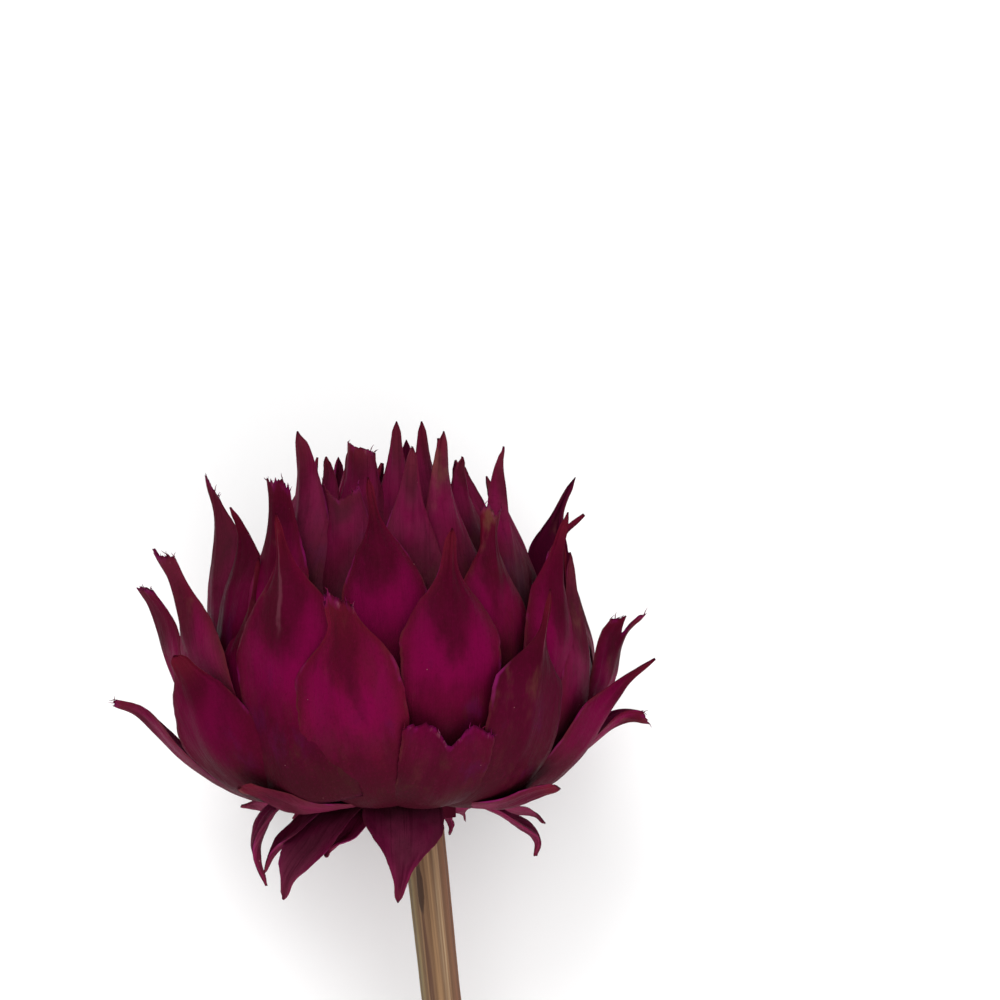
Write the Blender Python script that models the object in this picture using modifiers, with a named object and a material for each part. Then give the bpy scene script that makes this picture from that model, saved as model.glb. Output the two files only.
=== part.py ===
"""A dried artichoke head on its cut stem, lying on its side.

The head is modelled standing: its own +Z runs from the stem to the crown, and azimuth 0 faces -Y.
An empty then lays it down, so that +Y runs from the stem to the crown and the front faces up.
"""

import math
import random

import bmesh
import bpy
from mathutils import Quaternion, Vector

MM = 0.001

# How the head lies, on two bract tips and the stem's cut end: where its foot is, and how far its
# crown lifts and rolls.
HEAD_BASE = Vector((1.91, 36.73, 37.41)) * MM
CROWN_LIFT = math.radians(13.82)
ROLL = math.radians(0.21)

# The core that carries every bract, as (radius, height) down its outer side.
CORE_PROFILE = [
    (0, 47), (9, 46), (17, 44), (24, 41), (30, 36), (34.5, 30), (36.5, 23),
    (35.5, 15), (31, 8.5), (23, 4), (13, 2), (9, 0.5), (8, -1), (0, -1),
]
CORE_STEPS = 20
FOOT_HEIGHT = 15 * MM       # below this the core leans over to meet the stem

# Each whorl's bract. path is its midline in the plane of the axis, as (radius, height): the seat in
# the core, two pulls and the tip. root is its width at the seat as a share of the widest, widest is
# where along its length that is, hollow is how thin it runs out to the tip, and fold is the half angle
# of its cross-section in the body and at the tip. grid is its steps across and along, and rest is how
# many fill the far side.
WHORLS = {
    "skirt": dict(path=[(12, 4), (42, -6), (46, 22), (45, 43)], width=22, root=0.55, widest=0.72,
                  hollow=1.7, fold=(22, 55), grid=(4, 6), rest=0),
    "belly": dict(path=[(31, 11), (45, 20), (40, 40), (37, 53)], width=21, root=0.85, widest=0.46,
                  hollow=1.05, fold=(24, 62), grid=(4, 5), rest=6),
    "waist": dict(path=[(31, 23), (43, 34), (31, 49), (30, 62)], width=17, root=0.90, widest=0.42,
                  hollow=1.5, fold=(28, 66), grid=(4, 5), rest=3),
    "crown": dict(path=[(25, 33), (34, 44), (22, 57), (19, 70)], width=14, root=0.90, widest=0.42,
                  hollow=1.0, fold=(34, 70), grid=(4, 4), rest=5),
    "inner": dict(path=[(18, 40), (26, 49), (17, 61), (15, 71)], width=12, root=0.90, widest=0.40,
                  hollow=1.0, fold=(38, 72), grid=(2, 5), rest=4),
    "heart": dict(path=[(11, 43), (18, 52), (11, 62), (9, 73)], width=10, root=0.90, widest=0.38,
                  hollow=1.0, fold=(42, 74), grid=(2, 5), rest=4),
    "bud": dict(path=[(5, 44), (10, 52), (5, 61), (3, 71)], width=7, root=0.90, widest=0.38,
                hollow=1.0, fold=(48, 74), grid=(2, 4), rest=2),
    "ruff": dict(path=[(9, 4), (21, 2), (27, -1), (32, 0)], width=12, root=0.95, widest=0.25,
                 hollow=1.2, fold=(20, 40), grid=(2, 5), rest=5),
}

# Bracts with a shape of their own: whorl, azimuth of the seat, then what differs from the whorl.
# tip is (radius, height, azimuth), out moves the two pulls away from the axis, twist turns the tip in
# degrees, and torn is the share of the length that is left across the blade.
OWN_BRACTS = [
    ("skirt", -97, dict(path=[(12, 4), (34, -6), (46, 19)], tip=(57, 22, -99), width=13, twist=14)),
    ("skirt", -50, dict(tip=(53, 32, -53), width=23, widest=0.6, twist=42)),
    ("skirt", -7, dict(tip=(47, 46, -14), width=22)),
    ("skirt", 16, dict(width=20, out=1.5, torn=(0.60, 0.62, 0.56, 0.62, 0.60))),
    ("skirt", 37, dict(tip=(46, 45, 43), width=20, twist=8)),
    ("skirt", 70, dict(path=[(12, 4), (38, -5), (39, 20)], tip=(55, 30, 72), width=20, widest=0.6,
                       hollow=1.2)),
    ("skirt", 100, dict(path=[(12, 4), (34, -4), (41, 20)], tip=(52, 19.5, 100), width=13,
                        torn=(0.92, 0.95, 0.98, 0.96, 0.94))),
    ("skirt", 127, dict(twist=6)),
    ("skirt", 153, dict(tip=(54, 36, 150), out=-2.5)),
    ("skirt", 180, dict(tip=(39, 42, 182), out=-4)),
    ("skirt", 207, dict(tip=(54, 35, 210), out=-2.5, twist=-8)),
    ("skirt", 235, dict(tip=(46, 41, 231))),
    ("belly", -84, dict(path=[(31, 11), (45, 20), (44, 36)], tip=(52.5, 47, -77), width=20,
                        torn=(0.9, 0.94, 0.95, 0.95, 0.94))),
    ("belly", -58, dict(path=[(31, 11), (44, 20), (43, 38)], tip=(51, 53.5, -66), width=21,
                        torn=(0.95, 0.96, 0.97, 0.98, 0.98))),
    ("belly", -27, dict(tip=(42, 60, -32), width=20)),
    ("belly", 16, dict(tip=(42, 57, 17), width=22)),
    ("belly", 53, dict(tip=(40, 60, 62), width=20)),
    ("belly", 82, dict(path=[(31, 11), (43, 18), (43, 29)], tip=(50, 41, 82), width=20, widest=0.6,
                       fold=(20, 40), twist=-40, torn=(0.90, 0.95, 0.88, 0.94, 0.97))),
    ("waist", -76, dict(tip=(38, 68, -75), width=14, out=-0.5, twist=60,
                        torn=(0.99, 0.99, 0.97, 0.94, 0.9))),
    ("waist", -58, dict(tip=(37, 58, -59), width=16)),
    ("waist", -38, dict(tip=(35, 73, -44), width=18, torn=(0.90, 0.91, 0.90, 0.91, 0.88))),
    ("waist", 1, dict(tip=(35, 67, -7), width=17)),
    ("waist", 34, dict(tip=(34, 63, 39), width=17, torn=(0.94, 0.96, 0.92, 0.94, 0.95))),
    ("waist", 72, dict(tip=(38.5, 59.5, 93), width=12, out=-2)),
    ("waist", 111, dict(tip=(40, 67, 116), width=16, twist=65)),
    ("waist", -105, dict(width=21, torn=(0.62, 0.66, 0.60, 0.64, 0.58))),
    ("crown", -68, dict(tip=(18, 68, -63), width=12, out=-3)),
    ("crown", -40, dict(tip=(27, 76, -43))),
    ("crown", -17, dict(tip=(31, 63, -20), width=13, torn=(0.93, 0.96, 0.92, 0.97, 0.93))),
    ("crown", 8, dict(tip=(28, 73, 9), width=15)),
    ("crown", 28, dict(tip=(24, 76, 26), width=13, out=-1.5)),
    ("crown", 54, dict(tip=(27.5, 73, 54.5), width=14, out=2.5)),
    ("inner", -22, dict(tip=(22, 74, -17), width=12)),
    ("inner", 4, dict(tip=(16, 78, 4))),
    ("inner", 30, dict(tip=(17, 78, 21))),
    ("heart", 10, {}),
    ("bud", 0, {}),
    ("ruff", 8, dict(path=[(9, 4), (21, 1), (24, -7)], tip=(20, -17.2, 4), width=15, hollow=1.4)),
    ("ruff", -18, dict(path=[(9, 4), (19, 1), (22, -6)], tip=(24, -8, -33), width=5)),
    ("ruff", -37, dict(path=[(9, 4), (21, 1), (26, -7)], tip=(30, -16.5, -45), width=16, hollow=1.1)),
    ("ruff", -66, dict(path=[(9, 4), (30, 5), (33, 0)], tip=(30, -14, -57), width=9, widest=0.5,
                       twist=30)),
    ("ruff", -26, dict(path=[(9, 4), (22, 1), (30, -3)], tip=(41, 4.5, -44), width=14, twist=-20)),
    ("ruff", 40, dict(path=[(9, 4), (22, 2), (32, 0)], tip=(40, 4, 55), width=14, widest=0.6,
                      twist=20)),
    ("ruff", 72, dict(path=[(9, 4), (21, 1), (29, -2)], tip=(29, -9, 98), width=12)),
]

# The ranges that the far side's bracts are drawn from: how far the seat and the tip stray, the share
# of the whorl's width, and the twist.
SEED = 7
PLAY = dict(seat=(-3, 3), radius=(-2, 2), height=(-3, 2), azimuth=(-4, 4), width=(0.94, 1.06),
            twist=(-10, 10))

SEAT_SWELL = 1.6        # how soon a bract widens above its seat
SHOULDERS = 1.7         # how full it is past its widest place
TIGHTEST_FOLD = 1.3 * MM    # the smallest radius that it folds round
TIP_WIDTH = 0.9 * MM
BLADE = 0.7 * MM            # how thick it is

STEM_RADIUS = 3.75 * MM
STEM_LENGTH = 150.0 * MM
STEM_TOP = Vector((6.0, 0.0, -1.3)) * MM
STEM_LEAN = math.radians(6.0)
STEM_BEND = Vector((1.5, -2.5, 0)) * MM
STEM_FLARE = 0.3 * MM       # how much thicker the stem is right under the head
STEM_FLARE_FADE = 6         # how soon that flare is gone
STEM_RIBS = 12
STEM_RIB_SIDES = 3
STEM_RIB_DEPTH = 0.35 * MM
STEM_RINGS = 10

SHARP_EDGE = math.radians(35)


def clear_scene():
    for obj in list(bpy.data.objects):
        bpy.data.objects.remove(obj)


def make_collection(name):
    collection = bpy.data.collections.new(name)
    bpy.context.scene.collection.children.link(collection)
    return collection


def make_material(name, color, roughness):
    material = bpy.data.materials.new(name)
    material.use_nodes = True
    shader = material.node_tree.nodes["Principled BSDF"]
    shader.inputs["Base Color"].default_value = (*color, 1)
    shader.inputs["Roughness"].default_value = roughness
    shader.inputs["Metallic"].default_value = 0
    return material


def around(radius, height, azimuth):
    return Vector((radius * math.sin(azimuth), -radius * math.cos(azimuth), height)) * MM


def list_bracts():
    """Every bract: its whorl, its seat's azimuth in degrees and what differs from the whorl."""
    draw = random.Random(SEED)
    bracts = list(OWN_BRACTS)
    for name, whorl in WHORLS.items():
        seats = [seat for own, seat, _ in OWN_BRACTS if own == name]
        step = (360 - max(seats) + min(seats)) / (whorl["rest"] + 1)
        for i in range(whorl["rest"]):
            seat = max(seats) + (i + 1) * step + draw.uniform(*PLAY["seat"])
            radius = whorl["path"][3][0] + draw.uniform(*PLAY["radius"])
            height = whorl["path"][3][1] + draw.uniform(*PLAY["height"])
            tip = (radius, height, seat + draw.uniform(*PLAY["azimuth"]))
            width = whorl["width"] * draw.uniform(*PLAY["width"])
            twist = draw.uniform(*PLAY["twist"])
            bracts.append((name, seat, dict(tip=tip, width=width, twist=twist)))
    return bracts


def steer(bract, seat):
    """The four points that steer a bract's midline, and the direction across it."""
    radius, height, tip = bract.get("tip", (*bract["path"][-1], seat))
    start, end = math.radians(seat), math.radians(tip)
    middle = (start + end) / 2
    (r0, h0), (r1, h1), (r2, h2) = bract["path"][:3]
    out = bract.get("out", 0)
    points = [
        around(r0, h0, start),
        around(r1 + out, h1, start),
        around(r2 + out, h2, middle),
        around(radius, height, end),
    ]
    return points, Vector((math.cos(middle), math.sin(middle), 0))


def left_of(torn, across):
    """The share of the length that a torn blade has left at a place across it."""
    place = (across + 1) / 2 * (len(torn) - 1)
    i = min(int(place), len(torn) - 2)
    return torn[i] + (torn[i + 1] - torn[i]) * (place - i)


def width_share(s, bract):
    """A bract's outline: it swells from the seat, rounds its shoulders and runs out to a point."""
    widest = bract["widest"]
    if s < widest:
        return 1 - (1 - bract["root"]) * (1 - s / widest) ** SEAT_SWELL
    return (1 - ((s - widest) / (1 - widest)) ** SHOULDERS) ** bract["hollow"]


def blade_point(s, across, bract, points, side):
    """The point of a bract at s along its midline, 0 to 1, and across it, -1 to 1."""
    s *= left_of(bract.get("torn", (1, 1)), across)
    a, b, c, d = points
    r = 1 - s
    centre = a * r**3 + b * 3 * r * r * s + c * 3 * r * s * s + d * s**3
    along = ((b - a) * r * r + (c - b) * 2 * r * s + (d - c) * s * s).normalized()
    side = (side - along * side.dot(along)).normalized()
    side.rotate(Quaternion(along, math.radians(bract.get("twist", 0)) * s * s))
    outward = side.cross(along)
    half = max(bract["width"] * MM * width_share(s, bract), TIP_WIDTH) / 2
    share = max(0, (s - bract["widest"]) / (1 - bract["widest"]))
    body, tip = (math.radians(angle) for angle in bract["fold"])
    fold = min(body + (tip - body) * share * share * (3 - 2 * share), half / TIGHTEST_FOLD)
    bend = half / math.sin(fold)
    return centre + side * bend * math.sin(across * fold) - outward * bend * (1 - math.cos(across * fold))


def make_blade(name, bract, seat, collection):
    """One bract: a flat grid bent to its place, then thickened."""
    points, side = steer(bract, seat)
    across, along = bract["grid"]
    bm = bmesh.new()
    bmesh.ops.create_grid(bm, x_segments=across, y_segments=along, size=1)
    for vert in bm.verts:
        vert.co = blade_point((vert.co.y + 1) / 2, vert.co.x, bract, points, side)
    bmesh.ops.triangulate(bm, faces=bm.faces)
    blade = bpy.data.objects.new(name, bpy.data.meshes.new(name))
    bm.to_mesh(blade.data)
    bm.free()
    collection.objects.link(blade)
    thick = blade.modifiers.new("thickness", "SOLIDIFY")
    thick.thickness = BLADE
    thick.offset = 0
    bake(blade)


def make_core(collection):
    """The turned core, whose foot leans over to meet the stem."""
    bm = bmesh.new()
    verts = [bm.verts.new((radius * MM, 0, height * MM)) for radius, height in CORE_PROFILE]
    for upper, lower in zip(verts, verts[1:]):
        bm.edges.new((upper, lower))
    core = bpy.data.objects.new("head", bpy.data.meshes.new("head"))
    bm.to_mesh(core.data)
    bm.free()
    collection.objects.link(core)
    turn = core.modifiers.new("turn", "SCREW")
    turn.steps = CORE_STEPS
    turn.render_steps = CORE_STEPS
    turn.use_merge_vertices = True
    turn.merge_threshold = 0.01 * MM
    bake(core)
    for vert in core.data.vertices:
        vert.co.x += STEM_TOP.x * (max(0, FOOT_HEIGHT - vert.co.z) / (FOOT_HEIGHT - STEM_TOP.z)) ** 2
    return core


def bake(obj):
    """Gives the object the mesh that its modifiers make, and drops them."""
    graph = bpy.context.evaluated_depsgraph_get()
    mesh = bpy.data.meshes.new_from_object(obj.evaluated_get(graph))
    obj.modifiers.clear()
    obj.data = mesh


def keep_outer_shell(obj):
    """Fills the sealed gaps between blades and drops loose scraps: the largest closed shell stays."""
    bm = bmesh.new()
    bm.from_mesh(obj.data)
    bmesh.ops.triangulate(bm, faces=bm.faces)
    left = set(bm.faces)
    shells = []
    while left:
        shell, front = set(), [next(iter(left))]
        while front:
            face = front.pop()
            if face in left:
                left.discard(face)
                shell.add(face)
                pairs = [edge.link_faces for edge in face.edges if len(edge.link_faces) == 2]
                front.extend(near for pair in pairs for near in pair)
        shells.append(shell)
    outer = max(shells, key=len)
    bmesh.ops.delete(bm, geom=[face for face in bm.faces if face not in outer], context="FACES")
    bm.to_mesh(obj.data)
    bm.free()


def make_head(parts):
    """The core with every bract joined to it in one body."""
    blades = make_collection("blades")
    for i, (name, seat, own) in enumerate(list_bracts()):
        make_blade(f"{name}_{i}", {**WHORLS[name], **own}, seat, blades)
    head = make_core(parts)
    join = head.modifiers.new("join", "BOOLEAN")
    join.operation = "UNION"
    join.operand_type = "COLLECTION"
    join.collection = blades
    join.solver = "EXACT"
    bake(head)
    for blade in list(blades.objects):
        bpy.data.objects.remove(blade)
    bpy.data.collections.remove(blades)
    keep_outer_shell(head)
    return head


def make_stem(parts):
    """The ribbed stem: a little flared under the head, leaning, and bending towards its cut end."""
    bm = bmesh.new()
    sides = STEM_RIBS * STEM_RIB_SIDES
    bmesh.ops.create_cone(bm, cap_ends=True, segments=sides, radius1=1, radius2=1, depth=1)
    uprights = [edge for edge in bm.edges if abs(edge.verts[0].co.z - edge.verts[1].co.z) > 0.5]
    bmesh.ops.subdivide_edges(bm, edges=uprights, cuts=STEM_RINGS - 1)
    down = Vector((math.sin(STEM_LEAN), 0, -math.cos(STEM_LEAN)))
    for vert in bm.verts:
        depth = 0.5 - vert.co.z
        angle = math.atan2(vert.co.y, vert.co.x)
        rib = STEM_RIB_DEPTH / 2 * math.cos(STEM_RIBS * angle)
        radius = STEM_RADIUS + STEM_FLARE * (1 - depth) ** STEM_FLARE_FADE + rib
        ring = Vector((math.cos(angle), math.sin(angle), 0)) * radius
        vert.co = STEM_TOP + down * depth * STEM_LENGTH + STEM_BEND * depth * depth + ring
    stem = bpy.data.objects.new("stem", bpy.data.meshes.new("stem"))
    bm.to_mesh(stem.data)
    bm.free()
    parts.objects.link(stem)
    return stem


def main():
    clear_scene()
    parts = make_collection("artichoke_head")
    lie = bpy.data.objects.new("lie", None)
    parts.objects.link(lie)
    lie.location = HEAD_BASE
    lie.rotation_euler = (CROWN_LIFT - math.radians(90), ROLL, 0)
    dyed = make_material("dyed_bract", (0.11, 0.004, 0.024), 0.55)
    straw = make_material("dry_stem", (0.30, 0.19, 0.09), 0.75)
    for piece, material in ((make_head(parts), dyed), (make_stem(parts), straw)):
        piece.parent = lie
        piece.data.materials.clear()
        piece.data.materials.append(material)
        piece.data.shade_smooth()
        piece.data.set_sharp_from_angle(angle=SHARP_EDGE)


main()
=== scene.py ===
import math
import random

import bpy
from mathutils import Euler, Matrix, Vector


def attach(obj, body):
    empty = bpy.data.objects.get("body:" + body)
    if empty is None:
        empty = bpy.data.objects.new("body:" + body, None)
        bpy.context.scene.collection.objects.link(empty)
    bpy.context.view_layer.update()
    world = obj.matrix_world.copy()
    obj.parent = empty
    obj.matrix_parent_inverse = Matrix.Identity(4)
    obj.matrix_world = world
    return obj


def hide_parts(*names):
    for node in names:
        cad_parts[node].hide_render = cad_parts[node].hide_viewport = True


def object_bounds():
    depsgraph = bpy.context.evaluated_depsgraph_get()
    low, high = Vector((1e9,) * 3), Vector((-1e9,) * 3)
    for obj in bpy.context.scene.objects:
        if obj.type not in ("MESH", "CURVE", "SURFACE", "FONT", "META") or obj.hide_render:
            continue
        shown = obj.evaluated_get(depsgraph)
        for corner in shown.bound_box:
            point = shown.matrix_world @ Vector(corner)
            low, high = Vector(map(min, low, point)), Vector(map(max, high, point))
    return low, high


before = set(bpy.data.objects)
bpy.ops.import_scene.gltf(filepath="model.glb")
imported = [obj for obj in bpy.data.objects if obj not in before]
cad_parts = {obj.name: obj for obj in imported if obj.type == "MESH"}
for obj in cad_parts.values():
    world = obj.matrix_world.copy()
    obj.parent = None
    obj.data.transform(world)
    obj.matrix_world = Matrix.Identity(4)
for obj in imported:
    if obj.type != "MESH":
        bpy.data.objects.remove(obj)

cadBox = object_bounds()
mm = 0.001
print("frame loaded:", ", ".join(sorted(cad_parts)))

# How the head lies. It is shaped standing: its own +Z runs from the stem to the crown and azimuth 0
# faces its -Y, which is the side that looks up once it lies down.
lying = {"foot": (1.91, 36.73, 37.41), "crownLift": 13.82, "roll": 0.21}
turned = Euler((math.radians(lying["crownLift"] - 90), math.radians(lying["roll"]), 0))
lieMatrix = Matrix.Translation(Vector(lying["foot"]) * mm) @ turned.to_matrix().to_4x4()


# Node trees

def plug(tree, node, values):
    # a Field or a socket is linked to the node's input, and anything else is its plain value
    for key, value in values.items():
        value = getattr(value, "socket", value)
        if isinstance(value, bpy.types.NodeSocket):
            tree.links.new(value, node.inputs[key])
        else:
            node.inputs[key].default_value = value


def addNode(tree, kind, values=None, **settings):
    node = tree.nodes.new(kind)
    for name, value in settings.items():
        setattr(node, name, value)
    plug(tree, node, values or {})
    return node


class Field:
    # a node's output that can be reckoned with: each sign adds the Math or Vector Math node for it

    def __init__(self, tree, socket):
        self.tree, self.socket = tree, socket

    def isVector(self):
        return self.socket.type == "VECTOR"

    def calc(self, operation, *others, output=0):
        kind = "ShaderNodeVectorMath" if self.isVector() else "ShaderNodeMath"
        node = addNode(self.tree, kind, dict(enumerate((self, *others))), operation=operation)
        return Field(self.tree, node.outputs[output])

    def __add__(self, other):
        return self.calc("ADD", other)

    def __sub__(self, other):
        return self.calc("SUBTRACT", other)

    def __rsub__(self, other):
        node = addNode(self.tree, "ShaderNodeMath", {0: other, 1: self}, operation="SUBTRACT")
        return Field(self.tree, node.outputs[0])

    def __mul__(self, other):
        if self.isVector() and not (isinstance(other, Field) and other.isVector()):
            values = {0: self, "Scale": other}
            node = addNode(self.tree, "ShaderNodeVectorMath", values, operation="SCALE")
            return Field(self.tree, node.outputs[0])
        return self.calc("MULTIPLY", other)

    def __truediv__(self, other):
        return self.calc("DIVIDE", other)

    def __pow__(self, other):
        return self.calc("POWER", other)

    def least(self, other):
        return self.calc("MINIMUM", other)

    def most(self, other):
        return self.calc("MAXIMUM", other)

    def within(self):                          # held between 0 and 1
        return self.most(0.0).least(1.0)

    def ramp(self, low, high, bottom=0.0, top=1.0, kind="SMOOTHSTEP"):
        # goes from bottom to top between low and high, and stays there
        values = {"Value": self, "From Min": low, "From Max": high, "To Min": bottom, "To Max": top}
        node = addNode(self.tree, "ShaderNodeMapRange", values, interpolation_type=kind)
        return Field(self.tree, node.outputs["Result"])

    def toward(self, other, share):            # self at share 0, other at share 1
        return self + (other - self) * share


def combine(tree, x, y, z):
    return Field(tree, addNode(tree, "ShaderNodeCombineXYZ", {0: x, 1: y, 2: z}).outputs[0])


def split(field):
    node = addNode(field.tree, "ShaderNodeSeparateXYZ", {0: field})
    return [Field(field.tree, out) for out in node.outputs]


def noise(field, scale, detail=1.0, rough=0.5):      # from about -0.5 to 0.5
    values = {"Vector": field, "Scale": scale, "Detail": detail, "Roughness": rough}
    node = addNode(field.tree, "ShaderNodeTexNoise", values)
    return Field(field.tree, node.outputs["Fac"]) - 0.5


def newTree(name, inputs):
    tree = bpy.data.node_groups.new(name, "GeometryNodeTree")
    tree.interface.new_socket("Geometry", in_out="OUTPUT", socket_type="NodeSocketGeometry")
    for label, kind in inputs.items():
        tree.interface.new_socket(label, in_out="INPUT", socket_type="NodeSocket" + kind)
    given = addNode(tree, "NodeGroupInput")

    def ask(label):
        return Field(tree, given.outputs[label])

    return tree, ask


def grow(tree, kind, values=None, **settings):
    return addNode(tree, "GeometryNode" + kind, values, **settings).outputs[0]


def readAttribute(tree, name, kind="FLOAT"):
    return Field(tree, grow(tree, "InputNamedAttribute", {"Name": name}, data_type=kind))


def store(tree, geometry, name, value, kind="FLOAT"):
    values = {"Geometry": geometry, "Name": name, "Value": value}
    return grow(tree, "StoreNamedAttribute", values, data_type=kind)


def rolledGrid(tree, sides, rings):
    # a sheet to roll up: turn runs round it and way along it, each from 0 to 1
    size = {"Size X": 1.0, "Size Y": 1.0, "Vertices X": sides, "Vertices Y": rings}
    sheet = grow(tree, "MeshGrid", size)
    x, y, _ = split(Field(tree, grow(tree, "InputPosition")) + Vector((0.5, 0.5, 0)))
    return store(tree, store(tree, sheet, "turn", x), "way", y)


def closeSeams(tree, geometry):
    return grow(tree, "MergeByDistance", {"Geometry": geometry, "Distance": 0.0005 * mm})


def endTree(tree, geometry, material):
    smooth = grow(tree, "SetShadeSmooth", {"Geometry": geometry})
    real = grow(tree, "RealizeInstances", {0: smooth})
    painted = grow(tree, "SetMaterial", {"Geometry": real, "Material": material})
    addNode(tree, "NodeGroupOutput", {0: painted})
    return tree


def addObject(name, data):
    added = bpy.data.objects.new(name, data)
    bpy.context.scene.collection.objects.link(added)
    return added


def evaluatedMesh(source):
    shown = source.evaluated_get(bpy.context.evaluated_depsgraph_get())
    return bpy.data.meshes.new_from_object(shown)


def runTree(name, tree, mesh, inputs, keep):
    # evaluates the tree on the mesh once, and gives the result as a plain mesh object that lies down
    # and has only the attributes in keep
    source = addObject(name, mesh)
    modifier = source.modifiers.new("grow", "NODES")
    modifier.node_group = tree
    sockets = {s.name: s.identifier for s in tree.interface.items_tree if s.in_out == "INPUT"}
    for label, value in inputs.items():
        modifier[sockets[label]] = value
    result = evaluatedMesh(source)
    source.modifiers.remove(modifier)
    bpy.data.objects.remove(source)
    for attribute in [a.name for a in result.attributes if a.domain == "POINT" and not a.is_internal]:
        if attribute not in (*keep, "position"):
            result.attributes.remove(result.attributes[attribute])
    result.transform(lieMatrix)
    print(f"{name}: {len(result.polygons)} faces")
    return addObject(name, result)


# Bracts

# The bracts of the crown and inside it are cones rather than blades with a thin neck.
coned = {"neck": 0.74, "taper": 0.48, "sink": 0.2}

# Each whorl's bract, in mm and degrees. path is its midline in the plane of the axis, as
# (radius, height): the seat, two pulls and the tip. root is its width at the seat as a share of the
# full width, which it has from widest on. shoulder is where along its length it starts to narrow and
# where its neck begins, neck is that width's share, taper is where the neck starts to run out, and
# point is the share of it that is left at the tip. fold is the half angle of its cross-section in
# the body and at the tip, and sink is how much of the usual dip its neck has. bloom is where along it
# the painted highlight sits, with painted shade below it. glow paints it brighter all over, or darker
# when below 0, as painted light and shade. dust is how dusty it is, and partly painted light that
# lifts parts in shade such as the ruff. pale is how clearly a pale line, a painted highlight, shows
# on its neck. rest is how many fill the far side.
whorls = {
    "skirt": {"path": [(12, 4), (42, -6), (46, 22), (45, 43)], "width": 21, "root": 0.55,
              "widest": 0.66, "shoulder": (0.70, 0.91), "neck": 0.34, "fold": (22, 55),
              "highlightAt": 0.72, "rest": 0},
    "belly": {"path": [(35, 9), (47, 18), (40, 40), (37, 53)], "width": 20, "root": 0.72,
              "widest": 0.52, "shoulder": (0.56, 0.88), "neck": 0.40, "fold": (24, 62),
              "highlightAt": 0.56, "rest": 6},
    "waist": {"path": [(34, 22), (45, 33), (31, 49), (30, 62)], "width": 17, "root": 0.80,
              "widest": 0.50, "shoulder": (0.52, 0.88), "neck": 0.38, "fold": (28, 66),
              "highlightAt": 0.54, "rest": 3},
    "crown": {"path": [(27, 32), (36, 43), (22, 57), (19, 70)], "width": 14, "root": 0.85,
              "widest": 0.45, "shoulder": (0.42, 0.88), **coned, "taper": 0.50, "fold": (34, 66),
              "highlightAt": 0.74, "glow": 0.15, "dustAndPaintedLight": 0.06, "rest": 5},
    "inner": {"path": [(18, 40), (26, 49), (17, 61), (15, 71)], "width": 13.5, "root": 0.90,
              "widest": 0.38, "shoulder": (0.40, 0.92), **coned, "fold": (38, 68),
              "highlightAt": 0.78, "glow": 0.15, "dustAndPaintedLight": 0.05, "rest": 4},
    "heart": {"path": [(11, 43), (18, 52), (11, 62), (9, 73)], "width": 12, "root": 0.90,
              "widest": 0.36, "shoulder": (0.40, 0.92), **coned, "fold": (42, 70),
              "highlightAt": 0.80, "rest": 4},
    "bud": {"path": [(5, 44), (10, 52), (5, 61), (3, 71)], "width": 9, "root": 0.90,
            "widest": 0.36, "shoulder": (0.40, 0.92), **coned, "fold": (48, 72),
            "highlightAt": 0.80, "rest": 2},
    "ruff": {"path": [(9, 4), (21, 2), (27, -1), (32, 0)], "width": 12, "root": 0.95,
             "widest": 0.25, "shoulder": (0.30, 1.05), "neck": 0.10, "fold": (20, 40),
             "highlightAt": 0.50, "glow": 0.8, "dustAndPaintedLight": 0.16, "rest": 5},
}

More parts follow.
